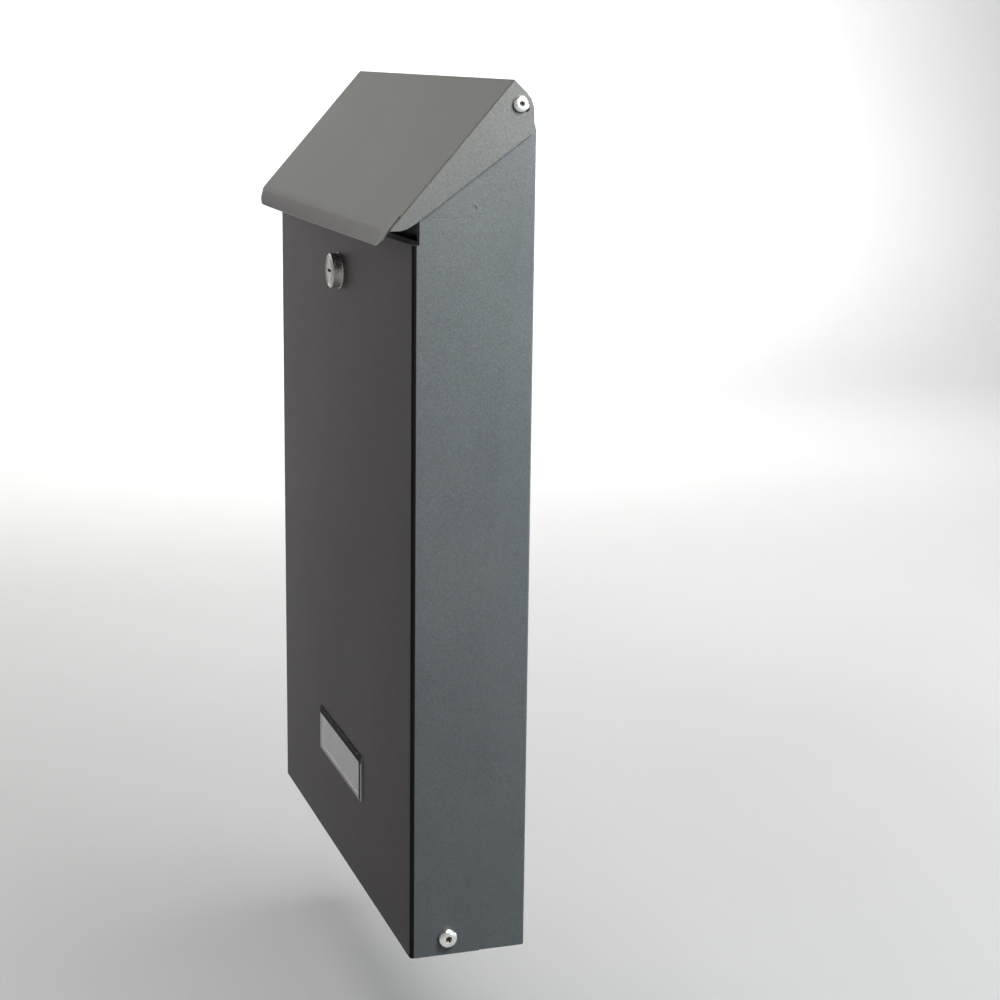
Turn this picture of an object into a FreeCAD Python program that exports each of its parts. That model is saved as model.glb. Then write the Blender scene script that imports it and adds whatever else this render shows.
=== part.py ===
import FreeCAD, Part
import math
import os
import Sketcher

# Wall-mounted letter and document drop box, folded from 0.8 mm steel sheet.
# Frame: +Z up, front faces -Y, wall side +Y, +X to the right seen from the front.
# Every piece is drawn in a wall frame (y = 0 on the back face, z = 0 under the
# base) and its Placement moves it by half the overall depth, so that the origin
# ends up under the middle of the object's box.

doc = FreeCAD.newDocument("drop_box")
sheet = doc.addObject("Spreadsheet::Sheet", "Dims")
ROW = [0]


class Q:
    """A number together with the spreadsheet expression that gives it."""

    def __init__(self, v, s):
        self.v = float(v)
        self.s = s

    @staticmethod
    def of(o):
        return o if isinstance(o, Q) else Q(o, repr(float(o)))

    def __add__(self, o):
        o = Q.of(o)
        return Q(self.v + o.v, "(%s + %s)" % (self.s, o.s))

    __radd__ = __add__

    def __sub__(self, o):
        o = Q.of(o)
        return Q(self.v - o.v, "(%s - %s)" % (self.s, o.s))

    def __rsub__(self, o):
        o = Q.of(o)
        return Q(o.v - self.v, "(%s - %s)" % (o.s, self.s))

    def __mul__(self, o):
        o = Q.of(o)
        return Q(self.v * o.v, "(%s * %s)" % (self.s, o.s))

    __rmul__ = __mul__

    def __truediv__(self, o):
        o = Q.of(o)
        return Q(self.v / o.v, "(%s / %s)" % (self.s, o.s))

    def __neg__(self):
        return Q(-self.v, "(0 - %s)" % self.s)


def dim(alias, value):
    ROW[0] += 1
    sheet.set("A%d" % ROW[0], alias)
    sheet.set("B%d" % ROW[0], repr(float(value)))
    sheet.setAlias("B%d" % ROW[0], alias)
    return Q(value, "Dims." + alias)


# ---- driving dimensions, mm ------------------------------------------------
t = dim("sheet_thick", 0.8)
door_w = dim("door_width", 310.0)
body_w = dim("body_width", 307.4)
lid_w = dim("lid_width", 312.8)
depth = dim("case_depth", 66.0)
half_total = dim("half_total_depth", 42.15)
door_ear_top = dim("door_ear_top", 401.5)
door_top = dim("door_top", 388.5)
door_low = dim("door_low", 0.3)
flange_y = dim("flange_rear_edge", 26.7)
hinge_y = dim("lid_axis_back", 9.9)
hinge_z = dim("lid_axis_height", 459.2)
pivot_y = dim("door_axis_back", 44.9)
pivot_z = dim("door_axis_height", 10.2)
back_top = dim("back_height", 457.0)
wall_front = dim("side_wall_front", 63.0)
floor_front = dim("floor_front", 54.5)
lid_top_y = dim("lid_ridge_back", 13.4)
lid_top_z = dim("lid_ridge_height", 471.2)
lip_bend_y = dim("lip_bend_front", 79.0)
lip_bend_z = dim("lip_bend_height", 396.0)
lip_end_y = dim("lip_end_front", 84.3)
lip_end_z = dim("lip_end_height", 388.6)
lock_z = dim("lock_height", 360.0)
win_z = dim("window_height", 66.8)
win_w = dim("window_width", 103.0)
win_t = dim("window_tall", 27.6)
mount_x = dim("wall_hole_across", 220.0)
mount_z = dim("wall_hole_up", 320.0)
mount_low = dim("wall_hole_low", 70.0)
mount_r = dim("wall_hole_radius", 3.2)
doc.recompute()

HW = door_w / 2
BW = body_w / 2
LW = lid_w / 2


# ---- small modelling helpers ----------------------------------------------
def plane(body, role):
    for f in body.Origin.OriginFeatures:
        if f.Role == role:
            return f
    raise RuntimeError("no plane " + role)


def new_body(name, y=None, z=None, x=None):
    b = doc.addObject("PartDesign::Body", name)
    b.Label = name
    if x is not None:
        b.setExpression("Placement.Base.x", Q.of(x).s)
    if y is not None:
        b.setExpression("Placement.Base.y", Q.of(y).s)
    if z is not None:
        b.setExpression("Placement.Base.z", Q.of(z).s)
    return b


def sketch(body, name, role, polys=(), circles=(), off=None):
    """Closed polygons and circles, every vertex tied to the sheet."""
    s = body.newObject("Sketcher::SketchObject", name)
    s.AttachmentSupport = [(plane(body, role), "")]
    s.MapMode = "FlatFace"
    if off is not None:
        s.setExpression("AttachmentOffset.Base.z", Q.of(off).s)
    exps = []
    n0 = 0
    for pts in polys:
        pts = [(Q.of(a), Q.of(b)) for a, b in pts]
        n = len(pts)
        for i in range(n):
            a, c = pts[i], pts[(i + 1) % n]
            s.addGeometry(Part.LineSegment(FreeCAD.Vector(a[0].v, a[1].v, 0),
                                           FreeCAD.Vector(c[0].v, c[1].v, 0)), False)
        for i in range(n):
            s.addConstraint(Sketcher.Constraint("Coincident", n0 + i, 2, n0 + (i + 1) % n, 1))
        for i in range(n):
            k = s.addConstraint(Sketcher.Constraint("DistanceX", -1, 1, n0 + i, 1, pts[i][0].v))
            exps.append((k, pts[i][0]))
            k = s.addConstraint(Sketcher.Constraint("DistanceY", -1, 1, n0 + i, 1, pts[i][1].v))
            exps.append((k, pts[i][1]))
        n0 += n
    for cx, cy, cr in circles:
        cx, cy, cr = Q.of(cx), Q.of(cy), Q.of(cr)
        s.addGeometry(Part.Circle(FreeCAD.Vector(cx.v, cy.v, 0), FreeCAD.Vector(0, 0, 1), cr.v), False)
        k = s.addConstraint(Sketcher.Constraint("DistanceX", -1, 1, n0, 3, cx.v))
        exps.append((k, cx))
        k = s.addConstraint(Sketcher.Constraint("DistanceY", -1, 1, n0, 3, cy.v))
        exps.append((k, cy))
        k = s.addConstraint(Sketcher.Constraint("Radius", n0, cr.v))
        exps.append((k, cr))
        n0 += 1
    for k, q in exps:
        if "Dims" in q.s:
            s.setExpression("Constraints[%d]" % k, q.s)
    return s


def box2(x0, x1, y0, y1):
    return [(x0, y0), (x1, y0), (x1, y1), (x0, y1)]


def mirror_x(pts):
    return [(-Q.of(a), b) for a, b in pts]


def pad(body, name, sk, length, both=False, flip=False):
    p = body.newObject("PartDesign::Pad", name)
    p.Profile = sk
    p.setExpression("Length", Q.of(length).s) if "Dims" in Q.of(length).s else setattr(p, "Length", Q.of(length).v)
    if both:
        p.SideType = "Symmetric"
    if flip:
        p.Reversed = True
    doc.recompute()
    return p


def pocket(body, name, sk, length, both=False, flip=False):
    """Cut by length; turned round if the first way removes nothing."""
    before = body.Shape.Volume
    p = body.newObject("PartDesign::Pocket", name)
    p.Profile = sk
    q = Q.of(length)
    p.setExpression("Length", q.s) if "Dims" in q.s else setattr(p, "Length", q.v)
    if both:
        p.SideType = "Symmetric"
    if flip:
        p.Reversed = True
    doc.recompute()
    if not flip and (body.Shape.isNull() or before - body.Shape.Volume < 1e-4):
        p.Reversed = True
        doc.recompute()
    if body.Shape.isNull() or before - body.Shape.Volume < 1e-4:
        raise RuntimeError("pocket %s removes nothing" % name)
    return p


def edges_where(shape, test):
    out = []
    for i, e in enumerate(shape.Edges):
        if test(e.BoundBox, e):
            out.append("Edge%d" % (i + 1))
    return out


def fillet(body, name, test, radius):
    tip = body.Tip
    names = edges_where(tip.Shape, test)
    if not names:
        raise RuntimeError("no edges for " + name)
    f = body.newObject("PartDesign::Fillet", name)
    f.Base = (tip, names)
    f.Radius = radius
    doc.recompute()
    if f.Shape.isNull() or not f.Shape.isValid():
        raise RuntimeError("fillet failed: " + name)
    return f


def near(a, b, tol=0.02):
    return abs(a - b) < tol


def hexagon(af, cx=0.0, cy=0.0, turn=0.0):
    r = Q.of(af) / 2 / math.cos(math.radians(30))
    return [(Q.of(cx) + r * math.cos(math.radians(60 * k + turn)),
             Q.of(cy) + r * math.sin(math.radians(60 * k + turn))) for k in range(6)]


NODES = []


def node(obj, name):
    obj.Label = name
    NODES.append((obj, name))
    return obj


def shift(obj):
    """Move from the wall frame to the object's own frame."""
    obj.setExpression("Placement.Base.y", half_total.s)


def pair(body, name):
    """The right-hand piece and its mirror image as one node of two solids."""
    m = doc.addObject("Part::Mirroring", name + "_left")
    m.Source = body
    m.Base = FreeCAD.Vector(0, 0, 0)
    m.Normal = FreeCAD.Vector(1, 0, 0)
    c = doc.addObject("Part::Compound", name + "_pair")
    c.Links = [body, m]
    doc.recompute()
    node(c, name)
    shift(c)
    return c


# ---- rear body: back, two side walls and floor, folded from one sheet ------
rear = new_body("rear_body")
prof = [(-wall_front, 0.0), (0.0, 0.0), (0.0, back_top), (-4.0, back_top),
        (-(hinge_y - 5.2), hinge_z - 0.2), (-(hinge_y - 4.3), hinge_z + 2.8),
        (-(hinge_y - 1.9), hinge_z + 4.8), (-(hinge_y + 1.6), hinge_z + 5.1),
        (-(hinge_y + 6.8), hinge_z + 5.7), (-wall_front, hinge_z - 47.4)]
sk = sketch(rear, "rear_profile", "YZ_Plane", [prof])
pad(rear, "rear_block", sk, body_w, both=True)
fillet(rear, "rear_toe", lambda b, e: near(b.YMin, -63.0) and near(b.YMax, -63.0) and near(b.ZMin, 0) and near(b.ZMax, 0), 10.0)
fillet(rear, "rear_bends", lambda b, e: (near(b.YMin, 0) and near(b.YMax, 0) and near(abs(b.XMin), 153.7) and near(b.XMin, b.XMax) and b.ZLength > 300)
       or (near(b.YMin, 0) and near(b.YMax, 0) and near(b.ZMin, 0) and near(b.ZMax, 0) and b.XLength > 250), 1.6)
sk = sketch(rear, "rear_inside", "XZ_Plane", [box2(-(BW - t), BW - t, t, 520.0)], off=t)
pocket(rear, "rear_hollow", sk, 90.0, flip=True)
sk = sketch(rear, "floor_edge", "XY_Plane", [box2(-(BW - t), BW - t, -90.0, -floor_front)], off=-5.0)
pocket(rear, "floor_trim", sk, 10.0)
sk = sketch(rear, "hinge_holes", "YZ_Plane", [], [(-hinge_y, hinge_z, 2.05), (-pivot_y, pivot_z, 3.05)])
pocket(rear, "hinge_drill", sk, body_w + 10, both=True)
wall_pts = [(sx * mount_x / 2, mount_low + k * mount_z, mount_r) for sx in (-1, 1) for k in (0, 1)]
sk = sketch(rear, "wall_holes", "XZ_Plane", [], wall_pts, off=-3.0)
pocket(rear, "wall_drill", sk, 6.0)
sk = sketch(rear, "drain_holes", "XY_Plane", [], [(-120.0, -27.0, 2.5), (-40.0, -27.0, 2.5), (40.0, -27.0, 2.5), (120.0, -27.0, 2.5)], off=-3.0)
pocket(rear, "drain_drill", sk, 6.0)
# coined dimples over the spot welds of the cross bar's end tabs
sk = sketch(rear, "dimple_right", "YZ_Plane", [], [(-33.1, 406.8, 1.3)], off=BW)
pocket(rear, "dimple_right_cut", sk, 0.35)
sk = sketch(rear, "dimple_left", "YZ_Plane", [], [(-33.1, 406.8, 1.3)], off=-BW)
pocket(rear, "dimple_left_cut", sk, 0.35)
shift(rear)
node(rear, "rear_body")

# ---- cross bar between the side walls, the lock's cam turns up behind it ----
bar = new_body("cross_bar")
IW = BW - t
sk = sketch(bar, "bar_web", "XZ_Plane", [box2(-IW, IW, 374.0, 396.0)], off=52.0)
pad(bar, "bar_web_pad", sk, 1.0)
sk = sketch(bar, "bar_top", "XY_Plane", [box2(-IW, IW, -53.0, -38.0)], off=395.0)
pad(bar, "bar_top_pad", sk, 1.0)
for side, nm in ((1, "right"), (-1, "left")):
    sk = sketch(bar, "bar_tab_" + nm, "YZ_Plane",
                [[(-53.0, 374.0), (-38.0, 386.0), (-28.0, 398.0), (-28.0, 412.0), (-44.0, 412.0), (-53.0, 404.0)]],
                off=(IW - 1.0) if side > 0 else -IW)
    pad(bar, "bar_tab_pad_" + nm, sk, 1.0)
fillet(bar, "bar_bend", lambda b, e: near(b.YMin, -53) and near(b.YMax, -53) and near(b.ZMin, 396) and near(b.ZMax, 396) and b.XLength > 200, 1.4)
shift(bar)
node(bar, "cross_bar")

# ---- front door: a tray with side flanges, tilts forward about the low pivots
door = new_body("front_door")
prof = [(-depth, door_low), (-flange_y, door_low), (-flange_y, door_ear_top), (-62.5, door_ear_top),
        (-62.5, door_top), (-depth, door_top)]
sk = sketch(door, "door_profile", "YZ_Plane", [prof])
pad(door, "door_block", sk, door_w, both=True)
fillet(door, "door_bends", lambda b, e: near(b.YMin, -66) and near(b.YMax, -66) and near(b.XMin, b.XMax) and b.ZLength > 300, 2.4)


def bend_corner(cx, cy, r, a0, a1, n=8):
    """Chords of the inside of a bend, from angle a0 to a1."""
    return [(cx + r * math.cos(math.radians(a0 + (a1 - a0) * k / n)),
             cy + r * math.sin(math.radians(a0 + (a1 - a0) * k / n))) for k in range(n + 1)]


ri = 1.6
inside = bend_corner(-(HW - t) + ri, -(depth - t) + ri, ri, 180, 270) + \
    bend_corner(HW - t - ri, -(depth - t) + ri, ri, 270, 360) + [(HW - t, 5.0), (-(HW - t), 5.0)]
sk = sketch(door, "door_inside", "XY_Plane", [inside], off=door_low + t)
pocket(door, "door_hollow", sk, door_top - door_low - 2 * t, flip=True)
sk = sketch(door, "door_back", "XY_Plane", [box2(-(HW - t), HW - t, -57.5, 5.0)], off=-5.0)
pocket(door, "door_back_cut", sk, 500.0)
# the two returns stop short of the side walls
ends = [box2(152.3, HW - t, -63.4, 5.0), mirror_x(box2(152.3, HW - t, -63.4, 5.0))]
sk = sketch(door, "return_ends", "XY_Plane", ends, off=-5.0)
pocket(door, "return_ends_cut", sk, 500.0)
sk = sketch(door, "door_ears", "XY_Plane", [box2(-(HW - t), HW - t, -64.0, 5.0)], off=door_top)
pocket(door, "door_ears_cut", sk, 60.0, flip=True)
fillet(door, "door_ear_corner", lambda b, e: near(b.YMin, -26.7) and near(b.YMax, -26.7) and near(b.ZMin, b.ZMax) and b.XLength < 1.0 and b.ZMin > 300, 1.0)
sk = sketch(door, "door_pivot_holes", "YZ_Plane", [], [(-pivot_y, pivot_z, 4.05)])
pocket(door, "door_pivot_drill", sk, door_w + 10, both=True)
r8 = 8.1
fl = 7.1
ang = math.acos(fl / r8)
# double-D hole for the lock barrel: arcs drawn as 24 short chords a side
pts = []
for base in (0.0, 180.0):
    a0 = base - 90 + math.degrees(ang)
    a1 = base + 90 - math.degrees(ang)
    for k in range(13):
        a = math.radians(a0 + (a1 - a0) * k / 12)
        pts.append((r8 * math.cos(a), lock_z + r8 * math.sin(a)))
sk = sketch(door, "lock_hole", "XZ_Plane", [pts], off=depth - 5.0)
pocket(door, "lock_hole_cut", sk, 10.0)
sk = sketch(door, "window_hole", "XZ_Plane", [box2(-(win_w / 2 - 2), win_w / 2 - 2, win_z - win_t / 2 + 2, win_z + win_t / 2 - 2)], off=depth - 5.0)
pocket(door, "window_cut", sk, 10.0)
shift(door)
node(door, "front_door")

# ---- lid: sloping sheet with two cheeks, a rear rain flange and a front lip -
lid = new_body("lid")
sx, sz = 0.6028, 0.5259      # 0.8 mm square to the slope
outer = [(-lid_top_y, lid_top_z), (-6.9, 465.0), (-4.2, 461.8), (-2.7, 457.5), (-2.3, 445.4),
         (-64.7, 399.6), (-69.2, 397.0), (-73.0, 395.9), (-78.3, lip_bend_z - 0.1),
         (-lip_bend_y + sx, lip_bend_z - sz), (-lip_end_y + 0.655, lip_end_z - 0.46), (-lip_end_y, lip_end_z),
         (-lip_bend_y, lip_bend_z)]
sk = sketch(lid, "lid_profile", "YZ_Plane", [outer])
pad(lid, "lid_block", sk, lid_w, both=True)
inner = [(-lid_top_y + 0.054, lid_top_z - 1.157), (-7.452, 464.42), (-6.0, 465.946), (2.0, 465.946), (2.0, 380.0), (-80.0, 380.0),
         (-lip_end_y + 0.655, lip_end_z - 0.46), (-lip_bend_y + sx, lip_bend_z - sz)]
sk = sketch(lid, "lid_inside", "YZ_Plane", [inner])
pocket(lid, "lid_hollow", sk, lid_w - 2 * t, both=True)
# slit beside each fold near the lip and shorter lip ends: the door's ears pass here
slit = [(153.4, -72.5), (LW - t, -72.5), (LW - t, -78.4), (160.0, -78.4), (160.0, -95.0), (153.4, -95.0)]
sk = sketch(lid, "lid_slits", "XY_Plane", [slit, mirror_x(slit)], off=380.0)
pocket(lid, "lid_slit_cut", sk, 40.0)
fillet(lid, "lid_folds", lambda b, e: near(abs(b.XMin), 156.4) and near(b.XMin, b.XMax) and b.YMax > -14.0 and b.YMin < -70.0 and b.ZMax > 470.5, 1.2)
fillet(lid, "lip_corners", lambda b, e: near(abs(b.XMin), 153.4) and near(b.XMin, b.XMax) and b.YMin < -83.5 and b.YMax < -83.4 and e.Length < 1.0, 5.0)
sk = sketch(lid, "lid_hinge_holes", "YZ_Plane", [], [(-hinge_y, hinge_z, 3.05)])
pocket(lid, "lid_hinge_drill", sk, lid_w + 10, both=True)
shift(lid)
node(lid, "lid")


# ---- hardware on the two hinge lines ---------------------------------------
def button_screw(name, x_head, y, z, head_r, head_h, dome, shank_r, length, socket_af, socket_d):
    b = new_body(name, y=-y, z=z)
    s = sketch(b, name + "_head", "YZ_Plane", [], [(0.0, 0.0, head_r)], off=x_head)
    pad(b, name + "_head_pad", s, head_h)
    fillet(b, name + "_dome", lambda bb, e: near(bb.XMin, x_head.v + head_h) and near(bb.XMax, x_head.v + head_h), dome)
    s = sketch(b, name + "_shank", "YZ_Plane", [], [(0.0, 0.0, shank_r)], off=x_head - length)
    pad(b, name + "_shank_pad", s, length)
    s = sketch(b, name + "_socket", "YZ_Plane", [hexagon(socket_af)], off=x_head + head_h - socket_d)
    p = pocket(b, name + "_socket_cut", s, 5.0, flip=True)
    if b.Shape.BoundBox.XMax < x_head.v + head_h - 0.01:
        raise RuntimeError("socket cut the wrong way")
    return b


def ring_piece(name, x0, length, y, z, r_out, r_in, af=None):
    b = new_body(name, y=-y, z=z)
    if af is None:
        s = sketch(b, name + "_ring", "YZ_Plane", [], [(0.0, 0.0, r_out), (0.0, 0.0, r_in)], off=x0)
    else:
        s = sketch(b, name + "_hex", "YZ_Plane", [hexagon(af)], [(0.0, 0.0, r_in)], off=x0)
    pad(b, name + "_pad", s, length)
    return b


head_gap = 0.25
lid_head = LW + head_gap
b = button_screw("lid_screw_right", lid_head, hinge_y, hinge_z, 3.8, 2.2, 1.75, 1.98, 12.0, 2.5, 1.3)
pair(b, "lid_hinge_screws")
b = ring_piece("lid_bush_right", BW, LW + head_gap - BW, hinge_y, hinge_z, 3.0, 2.02)
pair(b, "lid_hinge_bushes")
b = ring_piece("lid_washer_right", BW - t - 0.8, 0.8, hinge_y, hinge_z, 4.5, 2.1)
pair(b, "lid_hinge_washers")
b = ring_piece("lid_nut_right", BW - t - 0.8 - 5.0, 5.0, hinge_y, hinge_z, 0, 2.02, af=7.0)
pair(b, "lid_hinge_nuts")

door_head = HW + head_gap
b = button_screw("door_screw_right", door_head, pivot_y, pivot_z, 5.25, 3.3, 2.7, 2.98, 10.3, 4.0, 2.0)
pair(b, "door_pivot_screws")
b = ring_piece("door_bush_right", BW, HW + head_gap - BW, pivot_y, pivot_z, 4.0, 3.02)
pair(b, "door_pivot_bushes")
b = ring_piece("door_washer_right", BW - t - 1.6, 1.6, pivot_y, pivot_z, 6.0, 3.1)
pair(b, "door_pivot_washers")
b = ring_piece("door_nut_right", BW - t - 1.6 - 6.0, 6.0, pivot_y, pivot_z, 0, 3.02, af=10.0)
pair(b, "door_pivot_nuts")


# ---- cam lock ---------------------------------------------------------------
def y_disc(body, name, y_front, length, circles=(), polys=()):
    """Pad from y = -y_front towards the wall by length."""
    s = sketch(body, name, "XZ_Plane", polys, circles, off=y_front)
    p = pad(body, name + "_pad", s, length, flip=True)
    return p


house = new_body("lock_housing", z=lock_z)
y_disc(house, "lock_barrel", 66.0, 16.0, [(0.0, 0.0, 8.0)])
flat_hi = box2(-12.0, 12.0, 7.0, 12.0)
flat_lo = box2(-12.0, 12.0, -12.0, -7.0)
s = sketch(house, "barrel_flats", "XZ_Plane", [flat_hi, flat_lo], off=70.0)
pocket(house, "barrel_flats_cut", s, 30.0)
y_disc(house, "lock_head", 72.0, 5.2, [(0.0, 0.0, 10.0)])
y_disc(house, "lock_collar", 66.8, 0.8, [(0.0, 0.0, 10.6)])
fillet(house, "lock_head_edge", lambda b, e: near(b.YMin, -72) and near(b.YMax, -72) and b.XLength > 19, 0.8)
s = sketch(house, "lock_bore", "XZ_Plane", [], [(0.0, 0.0, 6.05)], off=80.0)
pocket(house, "lock_bore_cut", s, 40.0)
shift(house)
node(house, "lock_housing")

plug = new_body("lock_plug", z=lock_z)
y_disc(plug, "plug_core", 71.9, 22.2, [(0.0, 0.0, 6.0)])
y_disc(plug, "plug_drive", 50.1, 2.5, [], [box2(-3.5, 3.5, -3.5, 3.5)])
s = sketch(plug, "key_slot", "XZ_Plane", [box2(-4.0, 4.0, -0.8, 0.8)], off=75.0)
pocket(plug, "key_slot_cut", s, 20.0)
for k in range(5):
    # slots across the plug for the wafers, open above and below the key slot
    y0 = 68.0 - 2.6 * k
    s = sketch(plug, "wafer_slot_%d" % k, "XZ_Plane", [box2(-2.6, 2.6, -7.0, 7.0)], off=y0 - 1.1)
    before = plug.Shape.Volume
    p = plug.newObject("PartDesign::Pocket", "wafer_cut_%d" % k)
    p.Profile = s
    p.Length = 1.1
    p.Reversed = True
    doc.recompute()
    if before - plug.Shape.Volume < 1.0:
        raise RuntimeError("wafer slot missing")
s = sketch(plug, "cam_screw_hole", "XZ_Plane", [], [(0.0, 0.0, 2.0)], off=54.0)
pocket(plug, "cam_screw_drill", s, 10.0)
shift(plug)
node(plug, "lock_plug")

# five wafers with a window for the key, each in its own slot
parts = []
for k in range(5):
    y0 = 68.0 - 2.6 * k
    w = new_body("wafer_%d" % k, z=lock_z)
    y_disc(w, "wafer_plate_%d" % k, y0 - 0.05, 1.0, [],
           [[(-2.5, -5.35), (2.5, -5.35), (2.5, 5.35), (-2.5, 5.35)], box2(-1.9, 1.9, -1.6 + 0.25 * (k % 3), 1.6 + 0.25 * (k % 3))])
    parts.append(w)
c = doc.addObject("Part::Compound", "wafers")
c.Links = parts
doc.recompute()
shift(c)
node(c, "lock_wafers")

cam = new_body("lock_cam", z=lock_z)
y_disc(cam, "cam_plate", 49.7, 2.1, [],
       [[(-8.0, -7.5), (6.0, -7.5), (26.0, -6.5), (27.0, -5.5), (27.0, 5.5), (26.0, 6.5), (6.0, 7.5), (-8.0, 7.5)],
        box2(-3.55, 3.55, -3.55, 3.55)])
fillet(cam, "cam_heel", lambda b, e: near(b.XMin, -8) and near(b.XMax, -8) and b.YLength > 1.5 and b.ZLength < 0.1, 4.0)
shift(cam)
node(cam, "lock_cam")

scr = new_body("lock_cam_screw", z=lock_z)
y_disc(scr, "cam_screw_head", 46.6, 2.4, [(0.0, 0.0, 3.9)])
fillet(scr, "cam_screw_dome", lambda b, e: near(b.YMin, -44.2) and near(b.YMax, -44.2), 1.4)
y_disc(scr, "cam_screw_shank", 53.8, 7.2, [(0.0, 0.0, 1.95)])
s = sketch(scr, "cam_screw_cross", "XZ_Plane", [[(-2.2, -0.4), (-0.4, -0.4), (-0.4, -2.2), (0.4, -2.2), (0.4, -0.4), (2.2, -0.4),
                                                 (2.2, 0.4), (0.4, 0.4), (0.4, 2.2), (-0.4, 2.2), (-0.4, 0.4), (-2.2, 0.4)]], off=45.3)
pocket(scr, "cam_screw_cross_cut", s, 3.0)
if scr.Shape.BoundBox.YMin > -53.7:
    raise RuntimeError("cam screw cross cut the wrong way")
shift(scr)
node(scr, "lock_cam_screw")

cw = new_body("lock_cam_washer", z=lock_z)
y_disc(cw, "cam_washer_ring", 47.6, 1.0, [(0.0, 0.0, 5.2), (0.0, 0.0, 2.1)])
shift(cw)
node(cw, "lock_cam_washer")

nut = new_body("lock_nut", z=lock_z)
y_disc(nut, "lock_nut_hex", 64.2, 4.5, [(0.0, 0.0, 8.02)], [hexagon(21.0, turn=30.0)])
shift(nut)
node(nut, "lock_nut")

lw = new_body("lock_washer", z=lock_z)
y_disc(lw, "lock_washer_ring", 65.2, 1.0, [(0.0, 0.0, 11.0), (0.0, 0.0, 8.1)])
shift(lw)
node(lw, "lock_washer")

# ---- name window: clear pane, paper card, black snap-on retainer ------------
pane = new_body("name_window", z=win_z)
y_disc(pane, "pane_rim", 66.9, 0.9, [], [box2(-win_w / 2, win_w / 2, -win_t / 2, win_t / 2)])
y_disc(pane, "pane_boss", 66.0, 1.4, [], [box2(-(win_w / 2 - 2.2), win_w / 2 - 2.2, -(win_t / 2 - 2.2), win_t / 2 - 2.2)])
fillet(pane, "pane_rim_edge", lambda b, e: near(b.YMin, -66.9) and near(b.YMax, -66.9), 0.4)
shift(pane)
node(pane, "name_window")

card = new_body("name_card", z=win_z)
y_disc(card, "card_sheet", 64.55, 0.3, [], [box2(-(win_w / 2 - 3.2), win_w / 2 - 4.4, -(win_t / 2 - 2.4), win_t / 2 - 5.6)])
shift(card)
node(card, "name_card")

ret = new_body("card_retainer", z=win_z)
y_disc(ret, "retainer_block", 65.2, 2.6, [], [box2(-(win_w / 2 + 2), win_w / 2 + 2, -(win_t / 2 + 2), win_t / 2 + 2)])
s = sketch(ret, "retainer_recess", "XZ_Plane", [box2(-(win_w / 2 - 2.1), win_w / 2 - 2.1, -(win_t / 2 - 2.1), win_t / 2 - 2.1)], off=64.2)
before = ret.Shape.Volume
pocket(ret, "retainer_recess_cut", s, 5.0, flip=True)
if ret.Shape.BoundBox.YMax < -62.7:
    raise RuntimeError("retainer recess cut through the back")
fillet(ret, "retainer_edge", lambda b, e: near(b.YMin, -62.6) and near(b.YMax, -62.6), 0.8)
shift(ret)
node(ret, "card_retainer")

# ---- check everything, then write the parts --------------------------------
doc.recompute()
bad = []
for o in doc.Objects:
    st = [str(x) for x in o.State]
    if "Invalid" in st or "Error" in st:
        bad.append((o.Name, st))
for o, name in NODES:
    if o.Shape.isNull() or not o.Shape.isValid() or o.Shape.Volume <= 0:
        bad.append((name, "shape"))
if bad:
    raise RuntimeError("failed objects: %s" % bad)
os.makedirs("parts", exist_ok=True)
total = None
for o, name in NODES:
    o.Shape.exportStep(os.path.join("parts", name + ".step"))
    bb = o.Shape.BoundBox
    if total is None:
        total = FreeCAD.BoundBox(bb)
    else:
        total.add(bb)
    print("%-22s solids %d  volume %.1f mm3  x %.2f..%.2f  y %.2f..%.2f  z %.2f..%.2f" % (
        name, len(o.Shape.Solids), o.Shape.Volume, bb.XMin, bb.XMax, bb.YMin, bb.YMax, bb.ZMin, bb.ZMax))
print("whole:", total)
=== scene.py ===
import bpy, bmesh, math, random
from mathutils import Matrix, Vector


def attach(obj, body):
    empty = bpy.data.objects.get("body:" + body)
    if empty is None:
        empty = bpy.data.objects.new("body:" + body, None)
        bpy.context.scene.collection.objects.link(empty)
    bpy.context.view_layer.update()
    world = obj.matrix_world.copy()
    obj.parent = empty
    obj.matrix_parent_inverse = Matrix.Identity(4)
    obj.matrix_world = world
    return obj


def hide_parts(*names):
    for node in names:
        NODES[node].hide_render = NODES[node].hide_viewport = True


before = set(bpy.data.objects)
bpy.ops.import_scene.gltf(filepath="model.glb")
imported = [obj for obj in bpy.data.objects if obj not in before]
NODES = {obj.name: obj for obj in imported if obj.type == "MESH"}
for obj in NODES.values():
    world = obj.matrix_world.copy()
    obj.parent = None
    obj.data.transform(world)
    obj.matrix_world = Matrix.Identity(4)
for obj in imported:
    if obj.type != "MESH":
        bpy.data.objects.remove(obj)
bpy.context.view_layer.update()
YO = 0.04215          # the wall plane's y in the row frame


def W(x, y, z):
    """Point given in millimetres from the wall plane and the base."""
    return Vector((x / 1000.0, y / 1000.0 + YO, z / 1000.0))


# ---------------------------------------------------------------- camera
def look(az, el, dist, target, roll, focal_px):
    a, e, r = math.radians(az), math.radians(el), math.radians(roll)
    d = Vector((math.sin(a) * math.cos(e), -math.cos(a) * math.cos(e), math.sin(e)))
    f = -d
    right = f.cross(Vector((0, 0, 1))).normalized()
    up = right.cross(f)
    r2 = math.cos(r) * right + math.sin(r) * up
    u2 = -math.sin(r) * right + math.cos(r) * up
    cam = bpy.data.cameras.new("camera")
    cam.sensor_width = 36.0
    cam.sensor_fit = "HORIZONTAL"
    cam.lens = focal_px * 36.0 / 1000.0
    cam.clip_start = 0.05
    cam.clip_end = 50.0
    ob = bpy.data.objects.new("camera", cam)
    m = Matrix((r2, u2, -f)).transposed().to_4x4()
    m.translation = target + d * dist
    ob.matrix_world = m
    bpy.context.scene.collection.objects.link(ob)
    bpy.context.scene.camera = ob
    return ob


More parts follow.
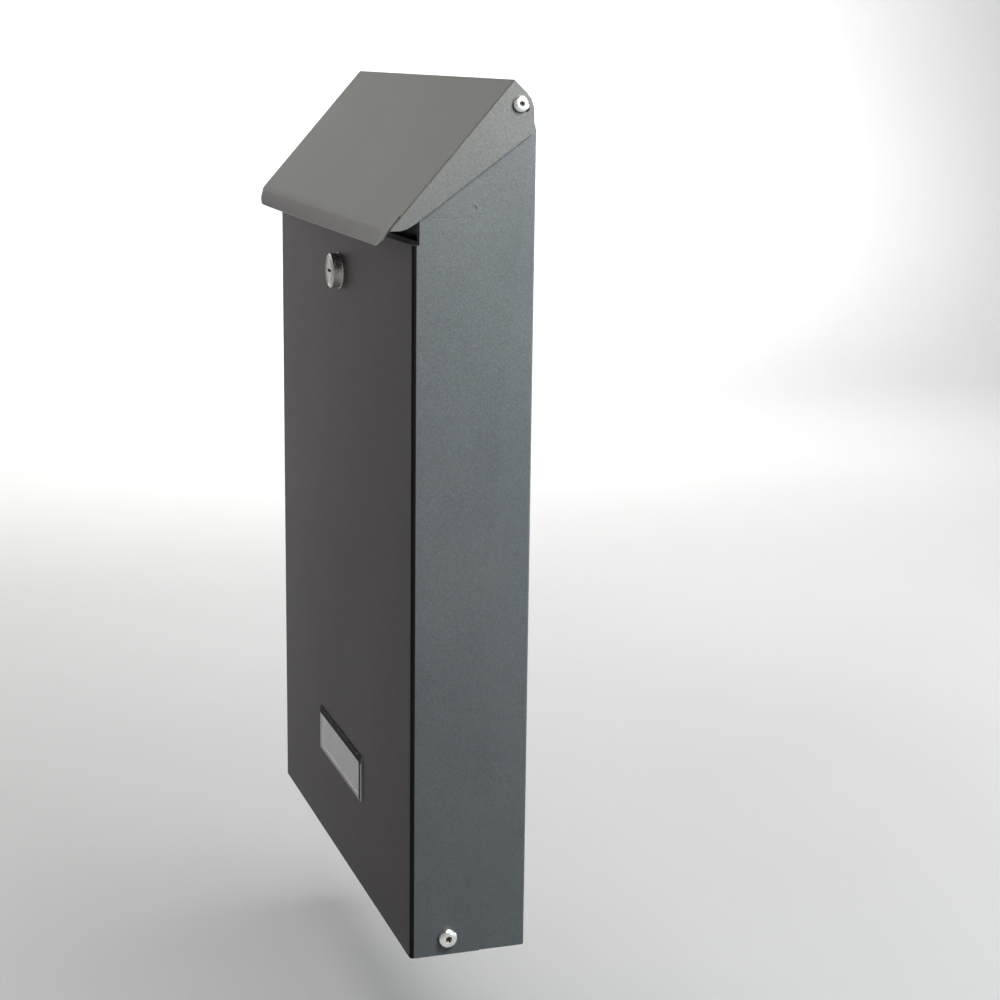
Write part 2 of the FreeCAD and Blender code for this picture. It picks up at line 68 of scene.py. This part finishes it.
look(71.611, 12.361, 1.25075, W(0, 33.72, 218.36), 0.739, 2057.47)


# ---------------------------------------------------------------- materials
def mat_new(name):
    m = bpy.data.materials.new(name)
    m.use_nodes = True
    nt = m.node_tree
    nt.nodes.clear()
    out = nt.nodes.new("ShaderNodeOutputMaterial")
    b = nt.nodes.new("ShaderNodeBsdfPrincipled")
    nt.links.new(b.outputs["BSDF"], out.inputs["Surface"])
    co = nt.nodes.new("ShaderNodeTexCoord")
    return m, nt, b, co.outputs["Object"]


def noise(nt, co, scale, detail=2.0, rough=0.5, dist=0.0):
    n = nt.nodes.new("ShaderNodeTexNoise")
    n.inputs["Scale"].default_value = scale
    n.inputs["Detail"].default_value = detail
    n.inputs["Roughness"].default_value = rough
    n.inputs["Distortion"].default_value = dist
    nt.links.new(co, n.inputs["Vector"])
    return n.outputs["Fac"]


def ramp(nt, fac, stops):
    r = nt.nodes.new("ShaderNodeValToRGB")
    el = r.color_ramp.elements
    while len(el) < len(stops):
        el.new(0.5)
    for e, (p, c) in zip(el, stops):
        e.position = p
        e.color = (*c, 1.0) if len(c) == 3 else c
    nt.links.new(fac, r.inputs["Fac"])
    return r.outputs["Color"]


def remap(nt, fac, a, b, c, d):
    r = nt.nodes.new("ShaderNodeMapRange")
    for k, v in zip(("From Min", "From Max", "To Min", "To Max"), (a, b, c, d)):
        r.inputs[k].default_value = v
    nt.links.new(fac, r.inputs["Value"])
    return r.outputs["Result"]


def mixc(nt, fac, a, b, kind="MIX"):
    m = nt.nodes.new("ShaderNodeMix")
    m.data_type = "RGBA"
    m.blend_type = kind
    for sock, v in ((m.inputs[0], fac), (m.inputs[6], a), (m.inputs[7], b)):
        if hasattr(v, "is_linked") or hasattr(v, "node"):
            nt.links.new(v, sock)
        elif isinstance(v, (int, float)):
            sock.default_value = v
        else:
            sock.default_value = (*v, 1.0)
    return m.outputs[2]


def bump(nt, height, strength, distance, normal=None):
    b = nt.nodes.new("ShaderNodeBump")
    b.inputs["Strength"].default_value = strength
    b.inputs["Distance"].default_value = distance
    nt.links.new(height, b.inputs["Height"])
    if normal is not None:
        nt.links.new(normal, b.inputs["Normal"])
    return b.outputs["Normal"]


def powder(name, dark, light, rough, peel, seed, spec=0.5):
    """Textured powder coat: fine grain over an orange peel, and faint hand marks."""
    m, nt, b, co = mat_new(name)
    shift = nt.nodes.new("ShaderNodeVectorMath")
    shift.operation = "ADD"
    shift.inputs[1].default_value = (seed * 0.37, seed * 0.11, seed * 0.23)
    nt.links.new(co, shift.inputs[0])
    co = shift.outputs["Vector"]
    cloud = noise(nt, co, 14.0, 3.0, 0.55)
    grain = noise(nt, co, 1500.0, 2.0, 0.6)
    peelf = noise(nt, co, 900.0, 2.0, 0.5)
    speck = noise(nt, co, 2600.0, 1.0, 0.5)
    base = ramp(nt, cloud, [(0.30, dark), (0.72, light)])
    g = ramp(nt, grain, [(0.30, (0.72, 0.72, 0.72)), (0.62, (1.12, 1.12, 1.12)), (0.80, (1.5, 1.5, 1.5))])
    col = mixc(nt, 1.0, base, g, "MULTIPLY")
    nt.links.new(col, b.inputs["Base Color"])
    rr = remap(nt, cloud, 0.25, 0.75, rough - 0.012, rough + 0.012)
    r2 = remap(nt, grain, 0.3, 0.7, -0.05, 0.07)
    add = nt.nodes.new("ShaderNodeMath")
    add.operation = "ADD"
    nt.links.new(rr, add.inputs[0])
    nt.links.new(r2, add.inputs[1])
    nt.links.new(add.outputs[0], b.inputs["Roughness"])
    n1 = bump(nt, peelf, peel, 0.00035)
    n2 = bump(nt, grain, peel * 0.9, 0.00012, n1)
    n3 = bump(nt, speck, peel * 0.4, 0.00006, n2)
    nt.links.new(n3, b.inputs["Normal"])
    b.inputs["Specular IOR Level"].default_value = spec
    return m


def metal(name, color, rough, scratch=0.12, brushed=None):
    m, nt, b, co = mat_new(name)
    src = co
    if brushed is not None:
        mp = nt.nodes.new("ShaderNodeMapping")
        mp.inputs["Scale"].default_value = brushed
        nt.links.new(co, mp.inputs["Vector"])
        src = mp.outputs["Vector"]
    n = noise(nt, src, 900.0, 4.0, 0.6)
    big = noise(nt, co, 120.0, 2.0, 0.5)
    col = ramp(nt, big, [(0.3, tuple(c * 0.86 for c in color)), (0.7, color)])
    nt.links.new(col, b.inputs["Base Color"])
    b.inputs["Metallic"].default_value = 1.0
    rr = remap(nt, n, 0.3, 0.7, rough * 0.75, rough * 1.35)
    nt.links.new(rr, b.inputs["Roughness"])
    nt.links.new(bump(nt, n, scratch, 0.00004), b.inputs["Normal"])
    return m


def plastic(name, color, rough, spec=0.5, grain=1200.0, strength=0.12):
    m, nt, b, co = mat_new(name)
    n = noise(nt, co, grain, 3.0, 0.6)
    big = noise(nt, co, 60.0, 2.0, 0.5)
    nt.links.new(ramp(nt, big, [(0.3, tuple(c * 0.88 for c in color)), (0.7, color)]), b.inputs["Base Color"])
    nt.links.new(remap(nt, n, 0.3, 0.7, rough * 0.85, min(1.0, rough * 1.15)), b.inputs["Roughness"])
    nt.links.new(bump(nt, n, strength, 0.00006), b.inputs["Normal"])
    b.inputs["Specular IOR Level"].default_value = spec
    return m


M_LID = powder("powder_coat_lid", (0.035, 0.035, 0.0325), (0.040, 0.040, 0.0375), 0.48, 0.16, 1)
M_BODY = powder("powder_coat_body", (0.0245, 0.0292, 0.0330), (0.0297, 0.0350, 0.0388), 0.46, 0.20, 2)
# lid side faces: a darker, bluer copy of the lid paint, the side's light and shade painted in
M_CHEEK_SHADED = powder("powder_coat_cheek_shaded", (0.0300, 0.0325, 0.0330), (0.0350, 0.0378, 0.0383), 0.46, 0.18, 6)
# door front faces: a darker, redder, less glossy copy of the same black paint as the body, painted shade of the front;
# the door's side flanges take the body paint
M_DOOR_FRONT_SHADED = powder("powder_coat_door_front_shaded", (0.0245, 0.0190, 0.0205), (0.0285, 0.0228, 0.0245), 0.50, 0.20, 3, 0.30)
M_DOOR_FRONT_SHADED.node_tree.nodes["Principled BSDF"].inputs["Specular Tint"].default_value = (1.0, 0.86, 0.90, 1.0)
# near-black paint on the lid's fold bevel and on the door's rounded front corner bends: painted shade standing in for
# the dark, shaded bend
M_FOLD_SHADE = powder("painted_shade_fold", (0.004, 0.004, 0.004), (0.006, 0.006, 0.006), 0.45, 0.12, 4, 0.06)
# near-black paint on the name pane's top strip, its top face and a line inside its right rim: painted shade for the
# shadow above the pane and in the gap at its right
M_PANE_SHADE = powder("painted_shade_black", (0.005, 0.0045, 0.0045), (0.007, 0.006, 0.006), 0.60, 0.10, 5, 0.08)
M_STAIN = metal("stainless_polished", (0.86, 0.86, 0.85), 0.24)
M_ZINC = metal("zinc_plate", (0.60, 0.61, 0.62), 0.32, 0.25)
M_CHROME = metal("chrome_plate", (0.47, 0.44, 0.43), 0.24, 0.02)
M_CHROME.node_tree.nodes["Principled BSDF"].inputs["Metallic"].default_value = 0.82
# dark metal on the screws' hex sockets: painted shade for the recess
M_SOCKET_SHADE = metal("screw_socket_painted_shade", (0.05, 0.048, 0.045), 0.45, 0.2)
M_BRASS = metal("brass_stamped", (0.72, 0.53, 0.24), 0.30, 0.2)
M_NYLON = plastic("nylon_natural", (0.72, 0.70, 0.64), 0.5)
M_BLACK = plastic("black_moulding", (0.012, 0.012, 0.012), 0.5)


def ruled_card(name):
    """Grey paper with faint ruled lines across, a painted-shade dark line near the right end and painted-highlight pale
    strips along the left, right and bottom edges.
    """
    m, nt, b, co = mat_new(name)
    sep = nt.nodes.new("ShaderNodeSeparateXYZ")
    nt.links.new(co, sep.inputs[0])
    w = nt.nodes.new("ShaderNodeMath")
    w.operation = "MULTIPLY"
    w.inputs[1].default_value = 2 * math.pi / 0.0042
    nt.links.new(sep.outputs["Z"], w.inputs[0])
    c = nt.nodes.new("ShaderNodeMath")
    c.operation = "SINE"
    nt.links.new(w.outputs[0], c.inputs[0])
    lines = ramp(nt, remap(nt, c.outputs[0], -1.0, 1.0, 0.0, 1.0), [(0.0, (1.0, 1.0, 1.0)), (0.80, (1.0, 1.0, 1.0)), (0.95, (0.72, 0.72, 0.72))])
    fib = noise(nt, co, 1800.0, 4.0, 0.6)
    base = ramp(nt, fib, [(0.3, (0.155, 0.142, 0.146)), (0.7, (0.195, 0.180, 0.185))])
    col = mixc(nt, 1.0, base, lines, "MULTIPLY")

    def step(sock, at, over):
        return remap(nt, sock, at, at + over, 0.0, 1.0)

    X, Z = sep.outputs["X"], sep.outputs["Z"]
    shade_line_mask = nt.nodes.new("ShaderNodeMath")
    shade_line_mask.operation = "SUBTRACT"
    nt.links.new(step(X, 0.0420, 0.0004), shade_line_mask.inputs[0])
    nt.links.new(step(X, 0.0452, 0.0004), shade_line_mask.inputs[1])
    # painted shade: the near-black line near the right end; painted highlight: the pale strips along the left, right
    # and bottom edges
    dark = (0.010, 0.009, 0.009)
    pale = (0.34, 0.33, 0.33)
    col = mixc(nt, step(X, 0.0452, 0.0004), col, pale)
    col = mixc(nt, shade_line_mask.outputs[0], col, dark)
    col = mixc(nt, step(X, -0.0466, -0.0004), col, pale)
    col = mixc(nt, step(Z, 0.0563, -0.0002), col, pale)
    nt.links.new(col, b.inputs["Base Color"])
    b.inputs["Roughness"].default_value = 0.8
    nt.links.new(bump(nt, fib, 0.2, 0.00005), b.inputs["Normal"])
    b.inputs["Specular IOR Level"].default_value = 0.3
    return m


M_CARD = ruled_card("card_paper_painted_rim_light")
# pale strips along the pane's left, right and bottom edges and on its end faces: part rim colour, part painted
# highlight
M_RIM_HIGHLIGHT = plastic("pane_edge_painted_highlight", (0.30, 0.29, 0.29), 0.3)


def glassy(name):
    m, nt, b, co = mat_new(name)
    n = noise(nt, co, 55.0, 3.0, 0.55)
    nt.links.new(remap(nt, n, 0.3, 0.7, 0.03, 0.09), b.inputs["Roughness"])
    nt.links.new(bump(nt, n, 0.10, 0.0006), b.inputs["Normal"])
    b.inputs["Base Color"].default_value = (0.92, 0.90, 0.90, 1.0)
    b.inputs["Transmission Weight"].default_value = 1.0
    b.inputs["Specular Tint"].default_value = (1.0, 0.88, 0.92, 1.0)
    b.inputs["IOR"].default_value = 1.44
    return m


M_PANE = glassy("clear_pane")


# ---------------------------------------------------------------- mesh helpers
def own_copy(node):
    """A new mesh with the CAD node's surface, welded and with flat facets joined."""
    me = NODES[node].data.copy()
    me.materials.clear()
    bm = bmesh.new()
    bm.from_mesh(me)
    bmesh.ops.remove_doubles(bm, verts=bm.verts, dist=1e-6)
    bmesh.ops.dissolve_limit(bm, angle_limit=math.radians(0.6), verts=bm.verts, edges=bm.edges)
    return bm


def finish_mesh(bm, name, body, replaces, mats, bev=None, segs=2, angle=32.0, smooth=True):
    bmesh.ops.recalc_face_normals(bm, faces=bm.faces)
    me = bpy.data.meshes.new(name)
    bm.to_mesh(me)
    bm.free()
    for a in list(me.attributes):
        if a.name in ("custom_normal", "sharp_edge", "sharp_face"):
            me.attributes.remove(a)
    ob = bpy.data.objects.new(name, me)
    bpy.context.scene.collection.objects.link(ob)
    for mt in mats:
        me.materials.append(mt)
    for p in me.polygons:
        p.use_smooth = smooth
    if bev:
        mod = ob.modifiers.new("edge", "BEVEL")
        mod.width = bev
        mod.segments = segs
        mod.limit_method = "ANGLE"
        mod.angle_limit = math.radians(angle)
        mod.harden_normals = True
        mod.miter_outer = "MITER_ARC"
    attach(ob, body)
    if replaces:
        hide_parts(*replaces)
    return ob


# ---------------------------------------------------------------- sheet metal
def cut(bm, co, no):
    bmesh.ops.bisect_plane(bm, geom=bm.verts[:] + bm.edges[:] + bm.faces[:], plane_co=co, plane_no=no, dist=1e-7)


bm = own_copy("front_door")
bm.normal_update()
for f in bm.faces:
    c = f.calc_center_median()
    # the door's rounded front corner bends get the near-black painted shade (slot 2)
    if abs(f.normal.x) > 0.12 and f.normal.y < -0.12 and abs(c.x) > 0.1520 and c.y < W(0, -62.6, 0).y:
        f.material_index = 2
    elif abs(f.normal.x) > 0.7:
        f.material_index = 1
# slot 0 is the front's painted-shade copy of the paint
door = finish_mesh(bm, "front_door_sheet", "door", ["front_door"], [M_DOOR_FRONT_SHADED, M_BODY, M_FOLD_SHADE], 0.00022, 2)

bm = own_copy("rear_body")
for sx in (-1, 1):          # clipped upper rear corners, so the lid's ends swing clear
    bmesh.ops.bisect_plane(bm, geom=bm.verts[:] + bm.edges[:] + bm.faces[:], plane_co=Vector((sx * 0.1440, 0, 0)),
                           plane_no=Vector((1, 0, 0)), dist=1e-7)
for v in bm.verts:
    if abs(v.co.z - 0.457) < 6e-5 and v.co.y > W(0, -4.4, 0).y and abs(v.co.x) > 0.1500:
        v.co.z = 0.4462
rear = finish_mesh(bm, "rear_body_sheet", "root", ["rear_body"], [M_BODY], 0.00022, 2)

bm = own_copy("cross_bar")
bar = finish_mesh(bm, "cross_bar_sheet", "root", ["cross_bar"], [M_BODY], 0.00022, 2)

# lid: the lip rolls down, more at the left end than at the right
bm = own_copy("lid")
ridge, lipb = W(0, -13.4, 471.2), W(0, -79.0, 396.0)
sdir = (lipb - ridge).normalized()
nrm = Vector((1, 0, 0)).cross(sdir)
if nrm.z < 0:
    nrm = -nrm
bm.normal_update()
x_lid = max(v.co.x for v in bm.verts)
folds = []
for e in bm.edges:
    if len(e.link_faces) != 2 or any(abs(abs(v.co.x) - x_lid) > 2e-5 for v in e.verts):
        continue
    na, nb = (f.normal for f in e.link_faces)
    if abs(na.x) < abs(nb.x):
        na, nb = nb, na
    if abs(na.x) > 0.99 and abs(nb.x) < 0.05 and nb.z > 0.3 and nb.y < -0.5:
        folds.append(e)
# the fold bevel gets the near-black painted shade (slot 1)
bmesh.ops.bevel(bm, geom=folds, offset=0.0026, offset_type="OFFSET", segments=7, profile=0.5, affect="EDGES", clamp_overlap=False, material=1, loop_slide=True)
s_bend = (lipb - ridge).length
for k in range(16):
    s = s_bend - 5.0e-3 + k * 0.9e-3
    cut(bm, ridge + sdir * s, sdir)
for k in range(-19, 20):
    cut(bm, Vector((k * 0.0081, 0, 0)), Vector((1, 0, 0)))
for v in bm.verts:
    rel = v.co - ridge
    s = rel.dot(sdir)
    h = rel.dot(nrm)
    if v.co.y > W(0, -60, 0).y or s < s_bend - 4.5e-3 or (abs(v.co.x) > 0.1545 and h < -3.2e-3):
        continue
    u = (v.co.x + 0.156) / 0.312
    u = min(1.0, max(0.0, u))
    full = math.radians(44.0 * (1 - u) ** 1.3 + 5.0 * u)     # more turn at the left
    ds = s - (s_bend - 4.5e-3)
    reach = 13.5e-3
    kap = full / reach
    a = kap * min(ds, reach)
    if kap > 1e-6:
        cs = math.sin(a) / kap
        cn = -(1 - math.cos(a)) / kap
    else:
        cs, cn = ds, 0.0
    q = ridge + sdir * (s_bend - 4.5e-3 + cs) + nrm * cn
    q = q + (nrm * math.cos(a) + sdir * math.sin(a)) * h
    v.co.y, v.co.z = q.y, q.z
bm.normal_update()
# the lid's side faces take the painted-shade copy of the lid paint (slot 2)
for f in bm.faces:
    if f.material_index == 0 and abs(f.normal.x) > 0.9:
        f.material_index = 2
lid = finish_mesh(bm, "lid_sheet", "lid", ["lid"], [M_LID, M_FOLD_SHADE, M_CHEEK_SHADED], 0.00022, 2)
for p in lid.data.polygons:          # flat sheet stays flat, folds and the rolled lip shade smoothly
    low = p.center.y < W(0, -74.0, 0).y
    p.use_smooth = p.material_index == 1 or (low and abs(p.normal.x) < 0.5)


# ---------------------------------------------------------------- turned pieces
def ring_points(r, n, hexa=False):
    pts = []
    for k in range(n):
        t = 2 * math.pi * k / n
        rr = r
        if hexa:
            q = (math.degrees(t) + 30.0) % 60.0 - 30.0
            rr = r / math.cos(math.radians(q))
        pts.append((rr * math.cos(t), rr * math.sin(t)))
    return pts


def lathe(rings, centre, axis, n=96):
    """Rings of (radius, height along axis, hexagonal or not), bridged into one closed skin."""
    bm = bmesh.new()
    ax = Vector(axis).normalized()
    ref = Vector((0, 0, 1)) if abs(ax.z) < 0.9 else Vector((1, 0, 0))
    e1 = ax.cross(ref).normalized()
    e2 = ax.cross(e1)
    prev, first = None, None
    for r, h, hx in rings:
        if r <= 0:
            cur = [bm.verts.new(centre + ax * h)]
        else:
            cur = [bm.verts.new(centre + ax * h + e1 * a + e2 * b) for a, b in ring_points(r, n, hx)]
        if prev is not None:
            if len(prev) == 1:
                for k in range(n):
                    bm.faces.new((prev[0], cur[k], cur[(k + 1) % n]))
            elif len(cur) == 1:
                for k in range(n):
                    bm.faces.new((prev[k], prev[(k + 1) % n], cur[0]))
            else:
                for k in range(n):
                    bm.faces.new((prev[k], prev[(k + 1) % n], cur[(k + 1) % n], cur[k]))
        prev = cur
        first = first or cur
    return bm


def join(bms):
    out = bmesh.new()
    for b in bms:
        me = bpy.data.meshes.new("tmp")
        b.to_mesh(me)
        b.free()
        out.from_mesh(me)
        bpy.data.meshes.remove(me)
    return out


def screw_rings(R, H, af, depth, shank, length):
    """Low button head: under-head edge, shallow crown, hexagonal socket, then the shank below."""
    mm = 0.001
    out = [(0, -length, False), (shank - 0.5, -length, False), (shank, -length + 0.5, False), (shank, 0.0, False),
           (R - 0.25, 0.0, False), (R - 0.07, 0.05, False), (R, 0.20, False), (R, H * 0.30, False)]
    rs = af / 2 + 0.55
    for k in range(1, 15):
        t = math.radians(90.0 * k / 15.0)
        out.append((rs + (R - rs) * math.cos(t) ** 0.8, H * 0.30 + H * 0.70 * math.sin(t) ** 1.15, False))
    out += [(rs, H, False), (af / 2 + 0.28, H - 0.02, False), (af / 2 + 0.10, H - 0.10, True), (af / 2, H - 0.26, True),
            (af / 2, H - depth, True), (af / 2 - 0.15, H - depth - 0.05, True), (0, H - depth - 0.45, False)]
    return [(r * mm, h * mm, hx) for r, h, hx in out]


def screws(name, node, R, H, af, depth, shank, length, x_head, y, z):
    parts = []
    for s in (1, -1):
        c = W(s * x_head, y, z)
        parts.append(lathe(screw_rings(R, H, af, depth, shank, length), c, (s, 0, 0)))
    ob = finish_mesh(join(parts), name, "root", [node], [M_STAIN, M_SOCKET_SHADE], None)
    top = W(x_head + H, 0, 0).x
    # the hex socket's faces get the dark painted shade (slot 1)
    for p in ob.data.polygons:
        r = math.hypot(p.center.y - W(0, y, 0).y, p.center.z - z * 0.001)
        if r < (af / 2 + 0.02) * 0.001 and top - depth * 0.001 - 0.0007 < abs(p.center.x) < top - 0.00015:
            p.material_index = 1
    sharp(ob, 38)
    return ob


def sharp(ob, deg):
    """Mark edges sharper than deg so the shading breaks there."""
    me = ob.data
    bm = bmesh.new()
    bm.from_mesh(me)
    for e in bm.edges:
        if len(e.link_faces) == 2 and e.calc_face_angle(0) > math.radians(deg):
            e.smooth = False
    bm.to_mesh(me)
    bm.free()


screws("lid_screw_heads", "lid_hinge_screws", 4.2, 2.0, 2.4, 1.2, 1.98, 12.0, 156.65, -9.9, 459.2)
screws("door_screw_heads", "door_pivot_screws", 5.3, 2.9, 3.2, 1.6, 2.98, 10.3, 155.25, -44.9, 10.2)

# lock: turned face, grooved rim, plug with the key slot
mm = 0.001
rings = [(10.6, 0.0), (10.6, 0.45), (10.35, 0.78), (10.05, 0.80), (10.0, 0.95), (10.0, 5.2), (9.92, 5.55), (9.7, 5.80), (9.35, 5.95), (8.95, 6.0),
         (8.55, 5.98), (8.30, 5.85), (8.15, 5.62), (7.95, 5.55), (7.70, 5.60), (7.50, 5.72), (7.2, 5.78), (6.35, 5.78), (6.12, 5.70), (6.05, 5.55),
         (6.05, -16.0), (7.9, -16.0), (8.0, -15.8), (8.0, 0.0)]
rings = [(r * mm, h * mm, False) for r, h in rings]
bmh = lathe(rings + [rings[0]], W(0, -66.0, 360.0), (0, -1, 0), 128)
bmesh.ops.remove_doubles(bmh, verts=bmh.verts, dist=1e-7)
# flats on the barrel
for v in bmh.verts:
    if v.co.y > W(0, -65.9, 0).y:
        dz = v.co.z - 0.360
        if math.hypot(v.co.x, dz) > 0.0075 and abs(dz) > 0.007:
            v.co.z = 0.360 + math.copysign(0.007, dz)
hs = finish_mesh(bmh, "lock_housing_turned", "door", ["lock_housing"], [M_CHROME], None)
sharp(hs, 40)

bm = own_copy("lock_plug")
pl = finish_mesh(bm, "lock_plug_face", "lock", ["lock_plug"], [M_CHROME], 0.00012, 2, 30)

bm = own_copy("name_window")
pz = [v.co.z for v in bm.verts]
px = [v.co.x for v in bm.verts]
py = min(v.co.y for v in bm.verts)
top_z, low_z, end_x, far_x = max(pz), min(pz), max(px), min(px)
front = [v.co for v in bm.verts if v.co.y < py + 5e-5]
fz1, fz0 = max(c.z for c in front), min(c.z for c in front)
fx1, fx0 = max(c.x for c in front), min(c.x for c in front)
for z in (fz1 - 0.0040, fz0 + 0.0005):
    cut(bm, Vector((0, 0, z)), Vector((0, 0, 1)))
for x in (fx1 - 0.0055, fx1 - 0.0020, fx0 + 0.0012):
    cut(bm, Vector((x, 0, 0)), Vector((1, 0, 0)))
bm.normal_update()
# pane slot 2 is painted shade: the top 4 mm strip, the top face and a line 2 to 5.5 mm in from the right end
for f in bm.faces:
    c = f.calc_center_median()
    if c.y > py + 5e-5:
        if f.normal.z > 0.7 and c.z > fz1 - 0.001:
            f.material_index = 2
        elif abs(f.normal.x) > 0.7 and (c.x > fx1 - 0.001 or c.x < fx0 + 0.001):
            f.material_index = 1
        continue
    if c.z > fz1 - 0.0040:
        f.material_index = 2
    elif c.x > fx1 - 0.0020 or c.x < fx0 + 0.0012 or c.z < fz0 + 0.0005:
        f.material_index = 1
    elif c.x > fx1 - 0.0055:
        f.material_index = 2
# pane slot 1 is the pale rim, part painted highlight
pane = finish_mesh(bm, "name_window_pane", "door", ["name_window"], [M_PANE, M_RIM_HIGHLIGHT, M_PANE_SHADE], 0.00015, 2, 30)

bm = own_copy("lock_cam")
cm = finish_mesh(bm, "lock_cam_plate", "lock", ["lock_cam"], [M_ZINC], 0.0002, 2)


# ---------------------------------------------------------------- carried-over CAD nodes
def paint(node, m):
    me = NODES[node].data
    me.materials.clear()
    me.materials.append(m)


for n in ("lid_hinge_washers", "lid_hinge_nuts", "door_pivot_washers", "door_pivot_nuts", "lock_cam_screw", "lock_cam_washer", "lock_nut", "lock_washer"):
    paint(n, M_ZINC)
for n in ("lid_hinge_bushes", "door_pivot_bushes"):
    paint(n, M_NYLON)
paint("lock_wafers", M_BRASS)
paint("name_card", M_CARD)
paint("card_retainer", M_BLACK)

# ---------------------------------------------------------------- stage
# one pale sweep: a flat floor that turns up all round into a low wall
rings = [(0.0, 0.0), (0.4, 0.0), (1.2, 0.0), (2.6, 0.0)]
for k in range(1, 19):
    t = math.radians(5.0 * k)
    rings.append((2.6 + 1.2 * math.sin(t), 1.2 - 1.2 * math.cos(t)))
rings += [(3.8, 2.4), (3.8, 3.4)]
bm = lathe([(r, h, False) for r, h in rings], Vector((0, 0, 0)), (0, 0, 1), 144)
bmesh.ops.recalc_face_normals(bm, faces=bm.faces)
me = bpy.data.meshes.new("studio_sweep")
bm.to_mesh(me)
bm.free()
for p in me.polygons:
    p.use_smooth = True
floor = bpy.data.objects.new("studio_sweep", me)
bpy.context.scene.collection.objects.link(floor)
m, nt, b, co = mat_new("sweep_paper")
n = noise(nt, co, 3.0, 3.0, 0.5)
nt.links.new(ramp(nt, n, [(0.3, (0.84, 0.84, 0.84)), (0.7, (0.86, 0.86, 0.86))]), b.inputs["Base Color"])
b.inputs["Roughness"].default_value = 0.95
b.inputs["Specular IOR Level"].default_value = 0.1
me.materials.append(m)
floor.location = (0, 0, -0.09)  # below the open door: the box hangs on a wall

bpy.context.scene.view_settings.view_transform = "Standard"
world = bpy.data.worlds.new("studio")
bpy.context.scene.world = world
world.use_nodes = True
bg = world.node_tree.nodes.get("Background") or world.node_tree.nodes.new("ShaderNodeBackground")
bg.inputs["Color"].default_value = (0.95, 0.97, 1.0, 1.0)
bg.inputs["Strength"].default_value = 0.02


def aimed(name, li, loc, aim):
    ob = bpy.data.objects.new(name, li)
    loc = Vector(loc)
    ob.matrix_world = (Vector(aim) - loc).to_track_quat("-Z", "Y").to_matrix().to_4x4()
    ob.matrix_world.translation = loc
    ob.visible_camera = False
    bpy.context.scene.collection.objects.link(ob)
    return ob


def area(name, loc, aim, size, power, color=(1, 1, 1), size_y=None):
    li = bpy.data.lights.new(name, "AREA")
    li.shape = "RECTANGLE"
    li.size = size
    li.size_y = size_y or size
    li.energy = power
    li.color = color
    return aimed(name, li, loc, aim)


def spot(name, loc, aim, angle, power, radius=0.25):
    li = bpy.data.lights.new(name, "SPOT")
    li.energy = power
    li.spot_size = math.radians(angle)
    li.spot_blend = 1.0
    li.shadow_soft_size = radius
    return aimed(name, li, loc, aim)


area("soft_left_high", (-2.6, -0.9, 2.0), (0, 0, 0.4), 1.8, 12.8, (0.985, 1.0, 0.90))
area("soft_left_mid", (-3.0, -1.1, 1.0), (0, 0, 0.4), 1.6, 6.6, (1.0, 0.94, 0.95))
key = area("soft_right", (0.62, 0.32, 0.90), (0, 0, 0.42), 0.36, 37.0, (1.0, 0.985, 0.93))
# the right-hand light is flagged off the floor, so it throws no second shadow there
flag = bpy.data.collections.new("flagged_floor")
flag.objects.link(floor)
flag.collection_objects[0].light_linking.link_state = "EXCLUDE"
key.light_linking.receiver_collection = flag
paper = bpy.data.collections.new("paper_only")
paper.objects.link(floor)
area("paper_fill", (0.6, 0.6, 2.9), (0.6, 0.6, 0), 3.0, 50.0).light_linking.receiver_collection = paper
area("soft_right_low", (1.5, 0.9, 0.28), (0, 0, 0.3), 0.5, 4.5, (0.70, 0.92, 1.0))
area("ceiling", (0.3, 0.4, 2.6), (0, 0, 0), 2.4, 2.5)
area("rim_back", (0.1, 1.3, 0.13), (0, 0, 0.3), 0.9, 6.0, size_y=0.24)
spot("sweep_near", (-0.7, 1.5, 2.4), (-1.45, 0.6, 0), 54, 95)
spot("sweep_mid", (-1.6, 1.4, 2.6), (-2.5, 0.9, 0), 66, 110)
spot("sweep_far", (-1.5, 0.2, 2.8), (-3.6, 0.9, 0.6), 66, 360)
spot("sweep_left", (-1.9, -0.5, 2.6), (-2.0, 0.05, 0), 46, 70)
